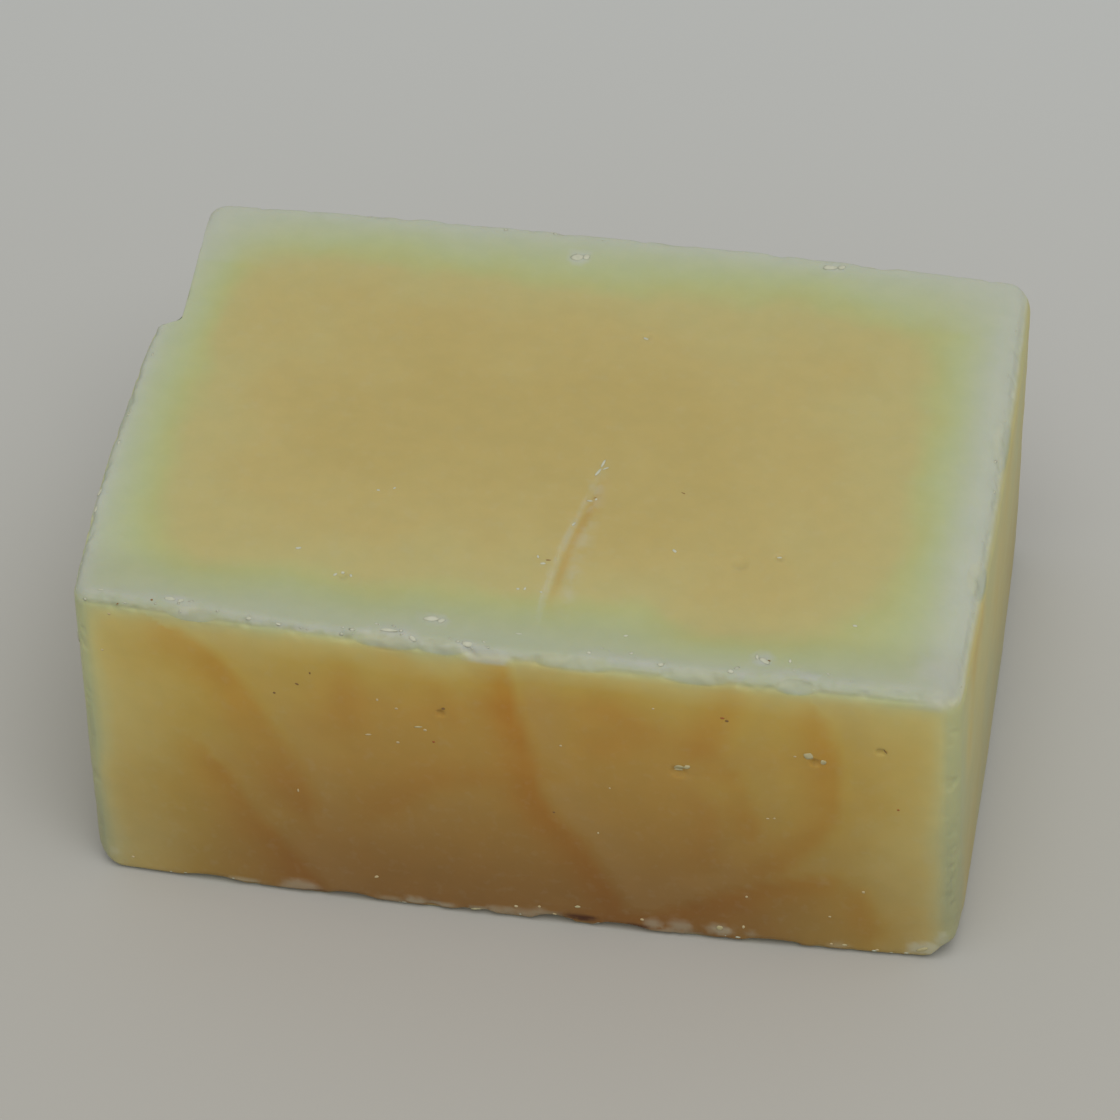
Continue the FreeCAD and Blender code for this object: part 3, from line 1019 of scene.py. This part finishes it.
def onSkin(face, u, w):
    # the place on the skin and its normal, and the two directions that a mark is laid out in
    start, aim, first, second = (Vector(v) for v in faceAims[face])
    place, normal = barSkin.ray_cast(start + first * u + second * w, aim)[:2]
    if normal.dot(aim) > flakeLook["steepest"]:
        normal = -aim
    return place, normal, first, second


def addFlake(bm, rng, place, normal, along, halfSizes, look):
    # a lumpy pat of soap lying on the skin, partly sunk in
    made = bmesh.ops.create_icosphere(bm, subdivisions=look["fineness"], radius=1.0)["verts"]
    seed = rng.uniform(0, 50)
    x = (along - normal * along.dot(normal)).normalized()
    y = normal.cross(x)
    for v in made:
        lump = noise.noise(v.co * flakeLook["lumpSize"] + Vector((seed, seed, 0)))
        c = v.co * (1 + look["lumps"] * lump)
        height = normal * (c.z + flakeLook["proud"]) * halfSizes[2] * flakeLook["flatter"]
        v.co = insideBox(place + x * c.x * halfSizes[0] + y * c.y * halfSizes[1] + height)


def crumbShape(rng, lengths, thicknesses):
    least, more = crumbLook["size"]
    size = least + more * rng.random() ** 2
    return size * rng.uniform(*lengths), size, size * rng.uniform(*thicknesses)


def crestCrumbs(bm, rng):
    # crumbs caught along the front crest
    look = crumbLook
    y, z = look["crestStart"]
    away = Vector((0, -look["drop"], look["drop"]))
    count = 0
    while count < look["crestCount"]:
        x = rng.uniform(*look["crestSpan"])
        if rng.random() > profile(frontBloom, x) ** look["crestBias"]:
            continue
        start = Vector((x, y + profile(frontBand, x) + rng.gauss(0, look["crestSpread"]), z)) + away
        place, normal = barSkin.ray_cast(start, Vector((0, 1, -1)).normalized())[:2]
        if place is not None and place.z > look["crestFoot"]:
            shape = crumbShape(rng, look["crestLength"], look["crestThick"])
            addFlake(bm, rng, place, normal, Vector((1, rng.uniform(*look["crestTurn"]), 0)), shape, look)
            count += 1


def edgeCrumbs(bm, rng):
    look = crumbLook
    for _ in range(look["edgeTries"]):
        a, b = rng.choice(look["edgeLines"])
        target = Vector(a).lerp(Vector(b), rng.random())
        atEnd = abs(target.x) > look["endFrom"] and abs(target.y) < look["cornerFrom"]
        atSide = abs(target.y) > look["sideFrom"]
        lift = look["upperLift"] if target.z > look["upperFrom"] else look["footLift"]
        out = Vector((target.x if atEnd else 0, target.y if atSide else 0, 0)).normalized()
        out += Vector((0, 0, lift))
        start = target + out * look["drop"] + Vector((0, 0, rng.uniform(*look["edgeSpread"])))
        place, normal = barSkin.ray_cast(start, -out.normalized())[:2]
        if place is not None and (place - target).length < look["stray"]:
            shape = crumbShape(rng, look["edgeLength"], look["edgeThick"])
            addFlake(bm, rng, place, normal, Vector((b[0] - a[0], b[1] - a[1], 0)), shape, look)


def flakeFinish(name, colour, second):
    finish, tree = newFinish(name)
    coords = tree.nodes.new("ShaderNodeTexCoord").outputs["Object"]
    pattern = stretch(tree, grainOf(tree, coords, flakeLook["pattern"], 2.0), flakeLook["patternRange"])
    addShader(tree, flakeLook["shader"], Base_Color=blendColour(tree, pattern, colour, second))
    return finish


def makeFlakes(name, look):
    rng = random.Random(flakeLook["seed"])
    bm = bmesh.new()
    for face, marks in look["marks"]:
        for u, w, halfLength, halfWidth, thick, turn in marks:
            place, normal, first, second = onSkin(face, u, w)
            turn = math.radians(turn)
            along = first * math.cos(turn) + second * math.sin(turn)
            addFlake(bm, rng, place, normal, along, (halfLength, halfWidth, thick), flakeLook)
    if "crumbs" in look:
        crestCrumbs(bm, rng)
        edgeCrumbs(bm, rng)
    bmesh.ops.scale(bm, vec=(mm,) * 3, verts=bm.verts)
    bmesh.ops.recalc_face_normals(bm, faces=bm.faces)
    piece = makePiece(bm, name)
    piece.data.shade_smooth()
    piece.data.materials.append(flakeFinish(*look["finish"]))
    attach(piece, "root")
    print(name, len(piece.data.polygons), "faces")


for name, look in flakePieces.items():
    makeFlakes(name, look)


# Floor, light and camera
studio = {
    "floor": (0.43, 0.42, 0.385),
    "floorBackPaintedLight": (0.505, 0.515, 0.497),  # painted light: the floor is lighter further back
    "floorSpan": (-0.03, 0.13),  # where it turns from one to the other
    "floorSize": 3.0,
    "floorShader": {"Roughness": 0.9, "Specular IOR Level": 0.1},
    "sky": 0.50,
    "lampPower": 5.95,
    "lampSize": 0.8,
    "lampPlace": (0.19, -0.34, 0.95),
    "lampAim": (0, 0, 0.02),
}


def makeFloor():
    bm = bmesh.new()
    bmesh.ops.create_grid(bm, x_segments=1, y_segments=1, size=studio["floorSize"])
    floor = makePiece(bm, "floor")
    finish, tree = newFinish("paleFloor")
    coords = tree.nodes.new("ShaderNodeTexCoord").outputs["Object"]
    away = addNode(tree, "ShaderNodeSeparateXYZ", Vector=coords).outputs["Y"]
    # painted light: the floor turns lighter toward the back
    tint = blendColour(tree, stretch(tree, away, studio["floorSpan"]), studio["floor"], studio["floorBackPaintedLight"])
    addShader(tree, studio["floorShader"], Base_Color=tint)
    floor.data.materials.append(finish)


def makeLight():
    world = bpy.data.worlds.new("studioSky")
    bpy.context.scene.world = world
    world.use_nodes = True
    sky = world.node_tree.nodes["Background"]
    sky.inputs["Color"].default_value = (1.0, 1.0, 1.0, 1.0)
    sky.inputs["Strength"].default_value = studio["sky"]

    lamp = bpy.data.objects.new("softbox", bpy.data.lights.new("softbox", "AREA"))
    lamp.data.shape = "SQUARE"
    lamp.data.size = studio["lampSize"]
    lamp.data.energy = studio["lampPower"]
    lamp.location = studio["lampPlace"]
    lamp.rotation_mode = "QUATERNION"
    lamp.rotation_quaternion = (lamp.location - Vector(studio["lampAim"])).to_track_quat("Z", "Y")
    bpy.context.scene.collection.objects.link(lamp)


viewpoint = {
    "place": (0.05938, -0.27878, 0.29483),
    "azimuth": 12.14,
    "elevation": 44.1,
    "roll": -2.61,
    "lens": 135.0,
    "sensor": 36.0,
    "clip": (0.01, 20.0),
}


def makeCamera():
    camera = bpy.data.objects.new("camera", bpy.data.cameras.new("camera"))
    camera.data.lens = viewpoint["lens"]
    camera.data.sensor_width = viewpoint["sensor"]
    camera.data.clip_start, camera.data.clip_end = viewpoint["clip"]
    turn, lift, roll = (math.radians(viewpoint[k]) for k in ("azimuth", "elevation", "roll"))
    back = Vector((math.sin(turn) * math.cos(lift), -math.cos(turn) * math.cos(lift), math.sin(lift)))
    level = Vector((math.cos(turn), math.sin(turn), 0.0))
    upright = back.cross(level)
    right = level * math.cos(roll) + upright * math.sin(roll)
    up = upright * math.cos(roll) - level * math.sin(roll)
    camera.rotation_mode = "QUATERNION"
    camera.rotation_quaternion = Matrix((right, up, back)).transposed().to_quaternion()
    camera.location = viewpoint["place"]
    bpy.context.scene.collection.objects.link(camera)
    bpy.context.scene.camera = camera


makeFloor()
makeLight()
makeCamera()
bpy.context.scene.view_settings.view_transform = "Standard"
print("studio ready")
